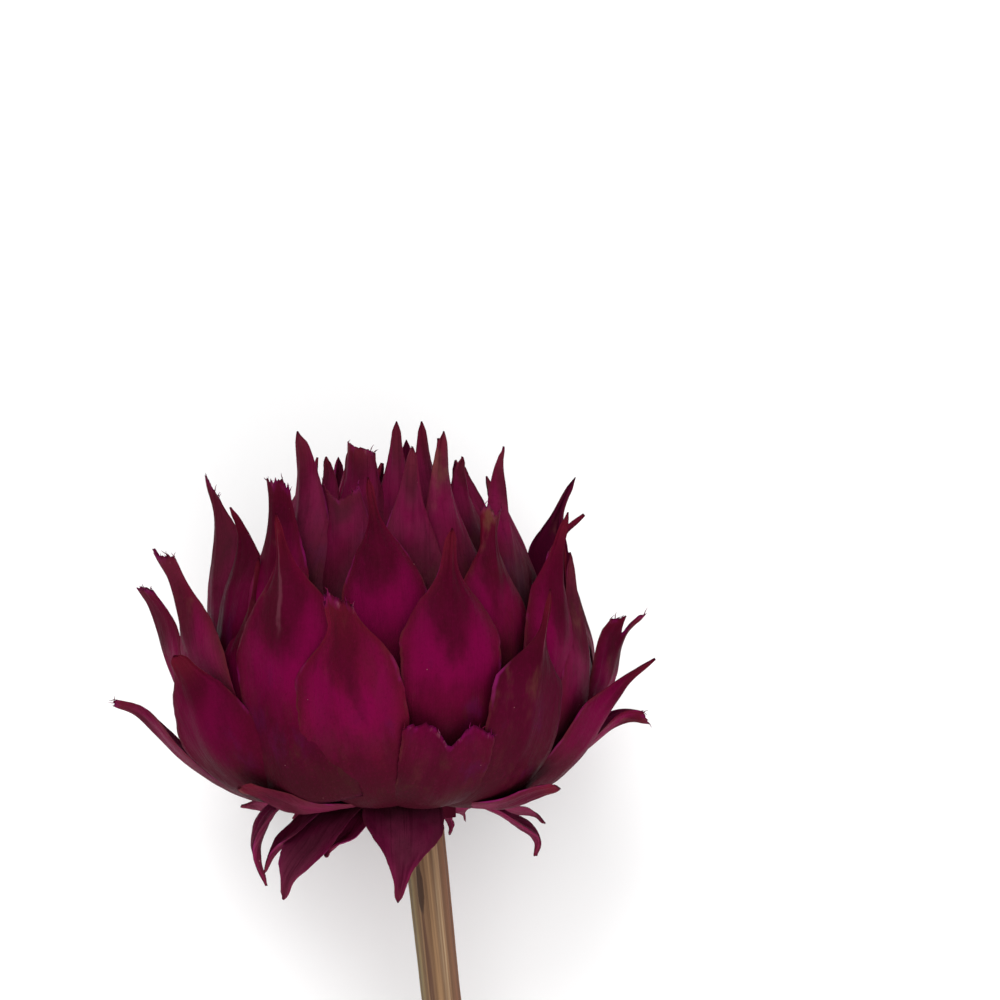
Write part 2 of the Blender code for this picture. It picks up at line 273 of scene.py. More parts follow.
# Bracts with a shape of their own: whorl, azimuth of the seat, then what differs from the whorl.
# tip is (radius, height, azimuth), out moves the two pulls away from the axis, twist turns the tip,
# torn is the share of the length that is left across the blade, notch is (place, depth) of a V,
# and left and right are shoulders that differ.
ownBracts = [
    ("skirt", -97, {"path": [(12, 4), (34, -6), (46, 18.5)], "tip": (57.3, 21.1, -99), "width": 13,
                    "twist": 14, "shoulder": (0.60, 1.0), "neck": 0.36, "point": 0.9, "dustAndPaintedLight": 0.08,
                    "torn": (0.96, 0.98, 0.99, 0.98, 0.97)}),
    ("skirt", -50, {"tip": (53, 32, -53), "width": 22, "widest": 0.6, "twist": 42, "point": 0.5,
                    "taper": 0.8, "left": (0.52, 1.08), "right": (0.50, 1.02), "neck": 0.26,
                    "glow": -0.45}),
    ("skirt", -7, {"tip": (47, 46, -13), "width": 22, "left": (0.74, 0.90), "right": (0.75, 0.96),
                   "neck": 0.30, "point": 0.85, "torn": (0.95, 0.99, 0.965, 0.955, 0.94)}),
    ("skirt", 14.5, {"tip": (45, 43, 18), "width": 19, "root": 0.75, "out": 2.5,
                     "torn": (0.60, 0.62, 0.60, 0.62, 0.58), "notch": (0.0, 0.055), "glow": -0.35}),
    ("skirt", 37, {"tip": (46, 45, 43), "width": 20, "twist": 8, "shoulder": (0.72, 0.91),
                   "neck": 0.24, "glow": -0.8, "pale": 0.55}),
    ("skirt", 70, {"path": [(12, 4), (38, -4), (40.5, 20)], "tip": (55, 31, 72), "width": 21,
                   "widest": 0.55, "shoulder": (0.58, 1.04), "neck": 0.16, "glow": -0.25}),
    ("skirt", 100, {"path": [(12, 4), (35, 1.5), (42, 21.5)], "tip": (53, 17.2, 100), "width": 12,
                    "neck": 0.62, "point": 0.95, "torn": (0.92, 0.95, 0.98, 0.96, 0.94)}),
    ("skirt", 127, {"twist": 6}),
    ("skirt", 153, {"tip": (54, 36, 150), "out": -2.5}),
    ("skirt", 180, {"tip": (39, 42, 182), "out": -4}),
    ("skirt", 207, {"tip": (54, 35, 210), "out": -2.5, "twist": -8}),
    ("skirt", 235, {"tip": (46, 41, 231)}),
    ("belly", -84, {"path": [(33, 10), (45, 20), (43.6, 35)], "tip": (53, 46.6, -79), "width": 19,
                    "neck": 0.42, "point": 0.9, "torn": (0.9, 0.94, 0.95, 0.94, 0.92),
                    "dustAndPaintedLight": 0.05}),
    ("belly", -58, {"path": [(34, 9), (45, 19), (44, 38)], "tip": (51.5, 53.7, -67), "width": 20,
                    "root": 0.9, "left": (0.45, 1.0), "right": (0.48, 0.85), "neck": 0.36,
                    "point": 0.9, "torn": (0.985, 0.97, 0.945, 0.94, 0.92), "dustAndPaintedLight": 0.04}),
    ("belly", -27, {"path": [(34, 3), (47, 14), (42, 40)], "tip": (42, 60, -32), "width": 24,
                    "root": 0.9, "left": (0.56, 0.93), "right": (0.54, 0.96), "neck": 0.30,
                    "pale": 0.3}),
    ("belly", 17.5, {"tip": (42, 57, 17), "width": 20.5, "left": (0.57, 0.85), "right": (0.58, 0.87),
                     "neck": 0.44}),
    ("belly", 53, {"path": [(31, 11), (45, 20), (38.5, 40)], "tip": (39.5, 60, 62.5), "root": 0.9,
                   "left": (0.50, 0.90), "right": (0.48, 0.92), "neck": 0.48}),
    ("belly", 82, {"path": [(33, 10), (42.5, 18), (43, 29.5)], "tip": (50.4, 41, 82), "width": 13.5,
                   "widest": 0.6, "fold": (20, 40), "twist": -40, "left": (0.75, 1.0),
                   "right": (0.60, 0.92), "neck": 0.50, "point": 0.9,
                   "torn": (0.88, 0.93, 0.93, 0.97, 0.985), "notch": (-0.15, 0.09)}),
    ("waist", -76, {"path": [(34, 22), (38.5, 33), (33, 49)], "tip": (38, 68, -75.5), "width": 16,
                    "twist": 60, "left": (0.40, 0.90), "right": (0.50, 1.05), "neck": 0.36,
                    "torn": (0.99, 0.99, 0.97, 0.94, 0.9), "dustAndPaintedLight": 0.05}),
    ("waist", -58, {"tip": (36, 61, -62), "width": 15, "shoulder": (0.50, 1.0), "neck": 0.45,
                    "glow": -0.5}),
    ("waist", -38, {"tip": (35, 73, -44.5), "width": 18, "shoulder": (0.45, 0.88), "neck": 0.42,
                    "point": 0.9, "torn": (0.90, 0.91, 0.90, 0.91, 0.88)}),
    ("waist", 1, {"tip": (35, 67, -7), "width": 17, "shoulder": (0.52, 0.89)}),
    ("waist", 34, {"tip": (34, 63, 39), "width": 17, "left": (0.50, 0.80), "right": (0.44, 0.86),
                   "neck": 0.36, "point": 0.9, "torn": (0.94, 0.96, 0.92, 0.94, 0.95)}),
    ("waist", 72, {"tip": (38.5, 59.5, 93), "width": 12, "out": -3.8}),
    ("waist", 111, {"tip": (41, 67, 116), "width": 15, "twist": 65, "shoulder": (0.45, 1.0),
                    "out": -2}),
    ("waist", -105, {"width": 20, "torn": (0.62, 0.66, 0.60, 0.64, 0.58)}),
    ("crown", -68, {"tip": (18, 68, -63), "width": 12, "out": -3}),
    ("crown", -40, {"tip": (27, 76, -43), "width": 18, "neck": 0.78}),
    ("crown", -17, {"tip": (31, 65, -20), "width": 13, "neck": 0.60, "point": 0.9, "taper": 0.76,
                    "torn": (0.98, 0.92, 0.90, 0.93, 0.95)}),
    ("crown", 8, {"tip": (28, 73, 9), "width": 14}),
    ("crown", 28, {"tip": (24, 76, 26), "width": 15, "out": -1.5}),
    ("crown", 54, {"tip": (27.5, 73, 54.5), "width": 13, "out": 1.5, "right": (0.42, 0.9)}),
    ("inner", -22, {"tip": (22, 74, -17), "width": 14, "neck": 0.55, "point": 0.7, "taper": 0.76,
                    "torn": (0.98, 0.985, 0.97, 0.96, 0.93)}),
    ("inner", 4, {"tip": (16, 78, 4)}),
    ("inner", 30, {"tip": (17, 78, 21)}),
    ("heart", 10, {}),
    ("bud", 0, {}),
    ("ruff", 8, {"path": [(9, 4), (21, 1), (24, -7)], "tip": (20, -17.2, 4), "width": 16,
                 "left": (0.38, 0.74), "right": (0.46, 0.76), "neck": 0.44, "taper": 0.72}),
    ("ruff", -18, {"path": [(9, 4), (19, 1), (22, -6)], "tip": (24, -8, -33), "width": 6.5,
                   "neck": 0.4, "point": 0.8}),
    ("ruff", -37, {"path": [(9, 4), (21, 1), (26, -7)], "tip": (30, -16.5, -45), "width": 14,
                   "left": (0.40, 0.98), "right": (0.62, 1.05), "neck": 0.44, "taper": 0.8,
                   "point": 0.2}),
    ("ruff", -66, {"path": [(9, 4), (29, 4), (31, -2)], "tip": (29.6, -14, -56.5), "width": 9,
                   "widest": 0.5, "twist": 30, "shoulder": (0.55, 1.0), "neck": 0.25}),
    ("ruff", -26, {"path": [(9, 4), (24, 1), (34, -1.5)], "tip": (41.5, 6, -46), "width": 17,
                   "twist": -8, "neck": 0.40, "point": 0.8, "glow": -0.4, "dustAndPaintedLight": 0.08}),
    ("ruff", 40, {"path": [(9, 4), (23, 1.5), (34, 0.5)], "tip": (41, 5.5, 55), "width": 16,
                  "widest": 0.6, "twist": 16, "neck": 0.60, "point": 0.9, "glow": -0.1,
                  "dustAndPaintedLight": 0.05}),
    ("ruff", 72, {"path": [(9, 4), (21, 1), (29, -2)], "tip": (29, -9, 98), "width": 12}),
]

# Smaller ones that are tucked in between the others.
tuckedBracts = [
    ("inner", -48, {"tip": (20, 71, -40)}),
    ("inner", 52, {"tip": (20, 71, 45)}),
    ("heart", -30, {"tip": (13, 70, -28)}),
    ("ruff", 130, {"path": [(9, 4), (13, 2), (14, -1)], "tip": (14.5, -5, 128), "width": 5}),
    ("ruff", -48, {"path": [(9, 4), (21, 3), (24.5, -4)], "tip": (29.4, -11.4, -59), "width": 7,
                   "widest": 0.5, "shoulder": (0.60, 1.0), "neck": 0.45, "twist": 20}),
    ("belly", 68, {"path": [(33, 9), (43.5, 17), (42.5, 33)], "tip": (37, 52, 73), "width": 18,
                   "root": 0.9, "neck": 0.50, "dustAndPaintedLight": 0.05}),
    ("belly", -46, {"path": [(33, 9), (43, 17), (41, 35)], "tip": (36, 51, -46), "width": 16,
                    "root": 0.9, "glow": -0.2}),
]

# The ranges that the far side's bracts are drawn from, with the seed of the draw.
farSide = {"seed": 7, "seat": (-3, 3), "radius": (-2, 2), "height": (-3, 2), "azimuth": (-4, 4),
           "width": (0.94, 1.06), "twist": (-10, 10)}

# Small bracts that cover the core's dome in a spiral: each stands so many degrees after the one
# before it. radius and tipHeight run from the middle one to the outer one.
dome = {"count": 30, "turn": 137.5, "radius": (3, 25), "seatHeight": (45, 40),
        "tipHeight": (66, 56), "lean": 1.5, "width": 8.5, "stepsAround": 28, "stepsAlong": 24,
        "like": {"root": 0.9, "widest": 0.4, "shoulder": (0.35, 0.9), "neck": 0.4,
                 "fold": (40, 72), "highlightAt": 0.7}}

# What a bract has where neither it nor its whorl says more.
usual = {"taper": 0.74, "point": 0.12, "sink": 1.0, "glow": 0.0, "pale": 0.0, "dustAndPaintedLight": 0.0}

# How every bract is made: the steps of its blade, then its thickness and relief in mm. dip is how far
# it sinks in under its neck. closing and rounding are how steeply its thickness and width run out at
# the ends. tones seeds the draw of each one's tone, which sets its patterns apart.
blade = {"stepsAround": 72, "stepsAlong": 52, "thickness": 0.65, "wave": 1.3, "crease": 1.0,
         "curl": 1.0, "keel": 0.9, "dip": 1.2, "ragged": 0.03, "tipWidth": 0.2, "closing": 20.0,
         "rounding": 25.0, "keelPower": 1.6, "curlPower": 4.0, "tightestFold": 1.3, "swell": 1.6,
         "tones": 11, "toneStep": 40.0}
bladeInputs = ("Thickness", "Wave", "Crease", "Curl", "Keel", "Dip", "Ragged")

# Shares of a blade: the half widths of a notch, of the keel and of the strips where its halves and
# its faces meet, and where a torn end looks raw and where its fibres stand.
shares = {"notch": 0.34, "keel": 0.55, "halves": 0.01, "faces": 0.1, "raw": (0.97, 0.99),
          "end": 0.999}

# Where along a blade each part of its relief comes in, and where two of them go out again.
comesIn = {"wave": (0.0, 0.3), "crease": (0.25, 0.6), "curl": (0.1, 0.5), "keel": (0.4, 0.78),
           "dip": (0.55, 0.82)}
goesOut = {"keel": (1.0, 0.8), "dip": (1.0, 0.84)}

# The noises that make a blade uneven: how fast each one runs across the blade, along it, from its
# left rim to its right one and from one blade to the next, then its scale, detail, roughness and
# strength. tear and fray shorten a torn end, and rim and nick change the width.
unevenness = {
    "tear": ({"across": 4.0, "tone": 50.0}, 1.6, 3.0, 0.7, 2.0),
    "fray": ({"across": 26.0, "tone": 90.0}, 1.0, 2.0, 0.7, 1.0),
    "rim": ({"along": 6.0, "rim": 3.0, "tone": 70.0}, 1.0, 3.0, 0.6, 0.16),
    "nick": ({"along": 45.0, "rim": 7.0, "tone": 20.0}, 1.0, 2.0, 0.5, 0.09),
    "wave": ({"across": 1.1, "along": 2.4, "tone": 90.0}, 1.3, 2.0, 0.5, 1.0),
    "crease": ({"across": 3.0, "along": 1.1, "tone": 55.0}, 1.2, 2.0, 0.5, 1.0),
    "curl": ({"along": 3.0, "rim": 5.0, "tone": 30.0}, 1.0, 1.0, 0.5, 1.0),
}

# The fibres that stand out of torn ends, in mm: share is how many of the end's points have one, and
# the seeds are those of their aim, their length and the choice of points.
fibres = {"share": 0.06, "length": (0.3, 1.7), "root": 0.13, "end": 0.03, "sides": 5, "steps": 5,
          "bend": 0.35, "spread": 0.8, "seeds": (5, 6, 7)}


def around(radius, height, azimuth):
    return Vector((radius * math.sin(azimuth), -radius * math.cos(azimuth), height))


def listBracts():
    draw = random.Random(farSide["seed"])
    bracts = list(ownBracts)
    for name, whorl in whorls.items():
        seats = [seat for own, seat, _ in ownBracts if own == name]
        step = (360 - max(seats) + min(seats)) / (whorl["rest"] + 1)
        for i in range(whorl["rest"]):
            seat = max(seats) + (i + 1) * step + draw.uniform(*farSide["seat"])
            radius = whorl["path"][3][0] + draw.uniform(*farSide["radius"])
            height = whorl["path"][3][1] + draw.uniform(*farSide["height"])
            tip = (radius, height, seat + draw.uniform(*farSide["azimuth"]))
            width = whorl["width"] * draw.uniform(*farSide["width"])
            twist = draw.uniform(*farSide["twist"])
            bracts.append((name, seat, {"tip": tip, "width": width, "twist": twist}))
    bracts += tuckedBracts
    return [(name, seat, {**whorls[name], **own}) for name, seat, own in bracts] + listDome()


def listDome():
    bracts = []
    for i in range(dome["count"]):
        share = (i / (dome["count"] - 1)) ** 0.5
        radius, seat, tip = (low + (high - low) * share for low, high in
                             (dome["radius"], dome["seatHeight"], dome["tipHeight"]))
        path = [(radius, seat), (radius + 2 * dome["lean"], seat + (tip - seat) / 3),
                (radius + dome["lean"], seat + (tip - seat) * 2 / 3), (radius - dome["lean"], tip)]
        own = {"path": path, "width": dome["width"]}
        bracts.append(("dome", i * dome["turn"], {**dome["like"], **own}))
    return bracts


def steer(bract, seat):
    # the four points that steer a bract's midline, and the direction across it
    radius, height, tip = bract.get("tip", (*bract["path"][-1], seat))
    start, end = math.radians(seat), math.radians(tip)
    middle = (start + end) / 2
    (r0, h0), (r1, h1), (r2, h2) = bract["path"][:3]
    out = bract.get("out", 0)
    points = [around(r0, h0, start), around(r1 + out, h1, start), around(r2 + out, h2, middle),
              around(radius, height, end)]
    return points, Vector((math.cos(middle), math.sin(middle), 0))


def bractRow(bract, seat, tone):
    # everything that the tree reads for one bract
    points, side = steer(bract, seat)
    row = dict(zip(("start", "pullLow", "pullHigh", "tip"), points), side=side)
    row.update(zip(("torn0", "torn1", "torn2", "torn3", "torn4"), bract.get("torn", [1.0] * 5)))
    row.update(zip(("foldBody", "foldTip"), (math.radians(angle) for angle in bract["fold"])))
    row.update(zip(("notchPlace", "notchDepth"), bract.get("notch", (0.0, 0.0))))
    row.update(zip(("bodyLeft", "neckLeft"), bract.get("left", bract["shoulder"])))
    row.update(zip(("bodyRight", "neckRight"), bract.get("right", bract["shoulder"])))
    row.update({key: float(bract[key]) for key in ("width", "root", "widest", "neck", "highlightAt")})
    row.update(twist=math.radians(bract.get("twist", 0)), tone=tone, ragged=float("torn" in bract))
    row.update({key: bract.get(key, value) for key, value in usual.items()})
    return row


def bractMesh(name, rows):
    # one point for each bract, which carries its row as attributes
    mesh = bpy.data.meshes.new(name)
    mesh.from_pydata([row["start"] for row in rows], [], [])
    for key in rows[0]:
        isVector = isinstance(rows[0][key], Vector)
        attribute = mesh.attributes.new(key, "FLOAT_VECTOR" if isVector else "FLOAT", "POINT")
        if isVector:
            attribute.data.foreach_set("vector", [x for row in rows for x in row[key]])
        else:
            attribute.data.foreach_set("value", [row[key] for row in rows])
    return mesh


def dice(tree, kind, values, seed):
    # a draw for each point, whose range is keyed by the numbers of the node's inputs
    values = {**values, "Seed": seed}
    node = addNode(tree, "FunctionNodeRandomValue", values, data_type=kind)
    return Field(tree, next(socket for socket in node.outputs if socket.enabled))


def growFibres(tree, blades, atEnd, along, share):
    # bent, tapered fibres on some of the points of torn ends
    values = {"Vertices": fibres["sides"], "Side Segments": fibres["steps"], "Depth": 1.0,
              "Radius Top": fibres["end"] * mm, "Radius Bottom": fibres["root"] * mm}
    cone = grow(tree, "MeshCone", values, fill_type="NGON")
    x, y, z = split(Field(tree, grow(tree, "InputPosition")))
    bent = combine(tree, x + z * z * (fibres["bend"] * mm), y, z * mm)
    cone = grow(tree, "SetPosition", {"Geometry": cone, "Position": bent})
    aimSeed, lengthSeed, choiceSeed = fibres["seeds"]
    stray = dice(tree, "FLOAT_VECTOR", {0: (-1.0, -1.0, -1.0), 1: (1.0, 1.0, 1.0)}, aimSeed)
    aim = addNode(tree, "FunctionNodeAlignRotationToVector",
                  {"Vector": along + stray * fibres["spread"]}, axis="Z").outputs[0]
    shortest, longest = fibres["length"]
    length = dice(tree, "FLOAT", {2: shortest, 3: longest}, lengthSeed)
    chosen = dice(tree, "BOOLEAN", {6: share}, choiceSeed)
    values = {"Points": blades, "Selection": atEnd * chosen, "Instance": cone, "Rotation": aim,
              "Scale": combine(tree, 1.0, 1.0, length)}
    return grow(tree, "RealizeInstances", {0: grow(tree, "InstanceOnPoints", values)})


def buildBractTree():
    tree, ask = newTree("bractWhorl", {
        "Geometry": "Geometry", "Steps Around": "Int", "Steps Along": "Int",
        **dict.fromkeys(bladeInputs, "Float"), "Fibre Share": "Float", "Material": "Material"})
    grid = rolledGrid(tree, ask("Steps Around"), ask("Steps Along"))
    values = {"Points": ask("Geometry"), "Instance": grid}
    sheets = grow(tree, "RealizeInstances", {0: grow(tree, "InstanceOnPoints", values)})

    def number(name):
        return readAttribute(tree, name)

    def vector(name):
        return readAttribute(tree, name, "FLOAT_VECTOR")

    # where a point is on its blade, whose sheet is rolled up into a flat lens: across from -1 to 1,
    # depth from the inner to the outer face
    turn = number("turn") * (2 * math.pi)
    across = turn.calc("COSINE") * -1.0
    aside = across.calc("ABSOLUTE")
    depth = turn.calc("SINE")
    way, tone = number("way"), number("tone")
    runs = {"across": across, "rim": across.calc("SIGN"), "tone": tone}

    def uneven(name):
        speeds, scale, detail, rough, strength = unevenness[name]
        place = [runs[run] * speed for run, speed in speeds.items()]
        return noise(combine(tree, *(place + [0.0])[:3]), scale, detail, rough) * strength

    # how much of the length a torn blade has left there
    left = number("torn0")
    for i in range(4):
        step = ((across + 1.0) * 2.0 - i).within()
        left = left + (number(f"torn{i + 1}") - number(f"torn{i}")) * step
    left = left - (uneven("tear") + uneven("fray")) * ask("Ragged") * number("ragged")
    beside = (across - number("notchPlace")).calc("ABSOLUTE")
    left = left - (1.0 - beside / shares["notch"]).most(0.0) * number("notchDepth")
    s = way * left
    runs["along"] = s

    # the midline, and the directions along, across and out of the blade
    a, b, c, d = (vector(name) for name in ("start", "pullLow", "pullHigh", "tip"))
    low = a.toward(b, s).toward(b.toward(c, s), s)
    high = b.toward(c, s).toward(c.toward(d, s), s)
    centre = low.toward(high, s)
    along = (high - low).calc("NORMALIZE")
    side = vector("side")
    dot = side.calc("DOT_PRODUCT", along, output="Value")
    side = (side - along * dot).calc("NORMALIZE")
    spin = {"Vector": side, "Axis": along, "Angle": number("twist") * s * s}
    spun = addNode(tree, "ShaderNodeVectorRotate", spin, rotation_type="AXIS_ANGLE")
    side = Field(tree, spun.outputs[0])
    outward = side.calc("CROSS_PRODUCT", along)

    # the outline: it swells from the seat, has shoulders on both sides and a neck that runs to a point
    below = 1.0 - (1.0 - s / number("widest")).most(0.0) ** blade["swell"] * (1.0 - number("root"))
    onRight = across.ramp(-shares["halves"], shares["halves"])
    bodyEnd = number("bodyLeft").toward(number("bodyRight"), onRight)
    neckStart = number("neckLeft").toward(number("neckRight"), onRight)
    past = s.ramp(bodyEnd, neckStart)
    above = 1.0 - past * (1.0 - number("neck"))
    above = above * s.ramp(number("taper"), 1.0, 1.0, number("point"), "LINEAR")
    roundEnd = ((1.0 - way) * blade["rounding"]).within() ** 0.5
    above = above * roundEnd.toward(1.0, number("ragged"))
    wavy = uneven("rim") + uneven("nick") + 1.0
    half = (number("width") * below * above * wavy).most(blade["tipWidth"]) / 2.0

    # the fold of the cross-section, which closes towards the tip
    fold = number("foldBody").toward(number("foldTip"), past)
    fold = fold.least(half / blade["tightestFold"])
    bend = half / fold.calc("SINE")
    angle = across * fold
    flat = side * (bend * angle.calc("SINE")) - outward * (bend * (1.0 - angle.calc("COSINE")))
    normal = outward * angle.calc("COSINE") + side * angle.calc("SINE")

    # waves, long creases, a keel that rises along the neck, and an edge that curls
    relief = uneven("wave") * ask("Wave") * s.ramp(*comesIn["wave"])
    relief = relief + uneven("crease") * ask("Crease") * s.ramp(*comesIn["crease"])
    keel = (1.0 - aside / shares["keel"]).most(0.0) ** blade["keelPower"] * ask("Keel")
    relief = relief + keel * s.ramp(*comesIn["keel"]) * s.ramp(*goesOut["keel"])
    dip = ask("Dip") * number("sink")
    relief = relief - dip * s.ramp(*comesIn["dip"]) * s.ramp(*goesOut["dip"])
    curl = aside ** blade["curlPower"] * uneven("curl") * ask("Curl")
    relief = relief + curl * s.ramp(*comesIn["curl"])
    ends = (way * blade["closing"]).within() * ((1.0 - way) * blade["closing"]).within()
    relief = relief + depth * ask("Thickness") / 2.0 * ends
    place = (centre + flat + normal * relief) * mm

    shaped = grow(tree, "SetPosition", {"Geometry": sheets, "Position": place})
    reach = (d - a).calc("LENGTH", output="Value")
    skin = combine(tree, across * half, s * reach, tone * blade["toneStep"])
    shaped = store(tree, shaped, "sheet", skin, "FLOAT_VECTOR")
    shaped = store(tree, shaped, "across", across)
    shaped = store(tree, shaped, "along", s)
    shaped = store(tree, shaped, "outer", depth.ramp(-shares["faces"], shares["faces"]))
    shaped = store(tree, shaped, "raw", way.ramp(*shares["raw"]) * number("ragged"))
    atEnd = way.calc("GREATER_THAN", shares["end"]) * number("ragged")
    hairs = growFibres(tree, shaped, atEnd, along, ask("Fibre Share"))
    joined = addNode(tree, "GeometryNodeJoinGeometry")
    for part in (closeSeams(tree, shaped), hairs):
        tree.links.new(part, joined.inputs[0])
    return endTree(tree, joined.outputs[0], ask("Material"))


bractAttributes = ("sheet", "across", "along", "outer", "tone", "highlightAt", "glow", "pale", "dustAndPaintedLight",
                   "raw")


def makeBracts(material):
    tree = buildBractTree()
    tones = random.Random(blade["tones"])
    rows = {name: [] for name in (*whorls, "dome")}
    for name, seat, bract in listBracts():
        rows[name].append(bractRow(bract, seat, tones.random()))
    inputs = {label: blade[label.lower()] for label in bladeInputs}
    inputs.update({"Fibre Share": fibres["share"], "Material": material})
    pieces = []
    for name in rows:
        pieceName = "bracts" + name.capitalize()
        mesh = bractMesh(pieceName, rows[name])
        steps = dome if name == "dome" else blade
        inputs.update({"Steps Around": steps["stepsAround"], "Steps Along": steps["stepsAlong"]})
        pieces.append(runTree(pieceName, tree, mesh, inputs, bractAttributes))
    return pieces


# Effects that the materials share

def newEffect(name, inputs, output):
    tree = bpy.data.node_groups.new(name, "ShaderNodeTree")
    for label, value in inputs.items():
        kind = "NodeSocketVector" if label == "Place" else "NodeSocketFloat"
        socket = tree.interface.new_socket(label, in_out="INPUT", socket_type=kind)
        socket.default_value = value
    tree.interface.new_socket(output, in_out="OUTPUT", socket_type="NodeSocketFloat")
    given = addNode(tree, "NodeGroupInput")
    return tree, *(Field(tree, given.outputs[label]) for label in inputs)


def endEffect(tree, value):
    addNode(tree, "NodeGroupOutput", {0: value})
    return tree


def useEffect(tree, effect, *values):
    # the values go to the effect's inputs in order, and inputs left out keep their defaults
    node = addNode(tree, "ShaderNodeGroup", dict(enumerate(values)), node_tree=effect)
    return Field(tree, node.outputs[0])


def makeFibreGrain():
    # long fibres along y: Across and Along say how many there are to a mm
    inputs = {"Place": (0, 0, 0), "Across": 3.0, "Along": 0.1, "Detail": 3.0}
    tree, place, across, along, detail = newEffect("fibreGrain", inputs, "Height")
    x, y, z = split(place)
    return endEffect(tree, noise(combine(tree, x * across, y * along, z), 1.0, detail, 0.6))


def makeMottle():
    # soft blotches: Size is in mm, Share is how much of the surface they take
    inputs = {"Place": (0, 0, 0), "Size": 6.0, "Share": 0.5}
    tree, place, size, share = newEffect("mottle", inputs, "Mask")
    cloud = noise(place * size ** -1.0, 1.0, 4.0, 0.6) + 0.5
    edge = (1.0 - share) * 0.5 + 0.25
    return endEffect(tree, cloud.ramp(edge - 0.08, edge + 0.10))


def makeSpecks():
    # small dots: so many places to a mm, a dot's radius as a share of its place, and the share of
    # the places that have one
    inputs = {"Place": (0, 0, 0), "Places": 0.6, "Radius": 0.12, "Share": 0.3}
    tree, place, places, radius, share = newEffect("specks", inputs, "Mask")
    cell = addNode(tree, "ShaderNodeTexVoronoi", {"Vector": place, "Scale": places})
    chance, size, _ = split(Field(tree, cell.outputs["Color"]))
    radius = radius * (size * 0.8 + 0.3)
    dot = Field(tree, cell.outputs["Distance"]).ramp(radius, radius * 0.5)
    return endEffect(tree, dot * chance.calc("LESS_THAN", share))


def makeRim():
    # the line along both edges, where Across runs from -1 to 1
    tree, across, width = newEffect("rimLine", {"Across": 0.0, "Width": 0.06}, "Mask")
    inner = 1.0 - width
    return endEffect(tree, across.calc("ABSOLUTE").ramp(inner, inner + width * 0.6))


# Materials

# Linear colours: the dyes, and the painted highlights, sheen and shade laid with them.
dyesAndPaintedLight = {
    "body": (0.080, 0.0006, 0.0150, 1), "bright": (0.140, 0.0004, 0.0370, 1),
    "deep": (0.036, 0.0010, 0.0070, 1), "ruddy": (0.084, 0.0030, 0.0120, 1),
    "tip": (0.110, 0.0065, 0.0130, 1), "dry": (0.056, 0.0065, 0.0110, 1),
    "dustAndPaintedLight": (0.260, 0.0800, 0.1200, 1),
    "inner": (0.060, 0.0020, 0.0180, 1), "rim": (0.075, 0.0160, 0.0140, 1),
    "violet": (0.230, 0.0050, 0.1200, 1), "pale": (0.260, 0.0900, 0.1200, 1),
    "tan": (0.150, 0.0800, 0.0350, 1), "speck": (0.330, 0.1200, 0.1400, 1),
    "seat": (0.026, 0.0035, 0.0060, 1), "core": (0.032, 0.0025, 0.0075, 1),
    "plum": (0.060, 0.0030, 0.0300, 1), "olive": (0.050, 0.0160, 0.0100, 1),
}
straws = {
    "straw": (0.240, 0.136, 0.066, 1), "brown": (0.090, 0.042, 0.024, 1),
    "pale": (0.420, 0.300, 0.180, 1), "green": (0.180, 0.150, 0.075, 1),
    "red": (0.160, 0.065, 0.038, 1), "lesion": (0.040, 0.018, 0.010, 1),
    "pith": (0.620, 0.520, 0.380, 1), "vessel": (0.140, 0.075, 0.040, 1),
}


def newMaterial(name):
    material = bpy.data.materials.new(name)
    material.use_nodes = True
    tree = material.node_tree
    return material, tree, tree.nodes["Principled BSDF"]


def mark(tree, name, output="Fac"):
    node = addNode(tree, "ShaderNodeAttribute", attribute_name=name)
    return Field(tree, node.outputs[output])


def paint(tree, under, over, share):
    # the second colour laid over the first, as far as the share says
    values = {0: share, 6: under, 7: over}
    node = addNode(tree, "ShaderNodeMix", values, data_type="RGBA")
    return Field(tree, node.outputs[2])


def finish(tree, shader, color, roughness, height, specular, depth):
    # depth is how high a height of 1 stands, in mm
    values = {"Height": height, "Strength": 1.0, "Distance": depth * mm}
    bump = addNode(tree, "ShaderNodeBump", values).outputs[0]
    plug(tree, shader, {"Normal": bump, "Base Color": color, "Roughness": roughness,
                        "Specular IOR Level": specular})


def makePlainMaterial(name, color, roughness, specular):
    material, tree, shader = newMaterial(name)
    plug(tree, shader, {"Base Color": color, "Roughness": roughness,
                        "Specular IOR Level": specular})
    return material


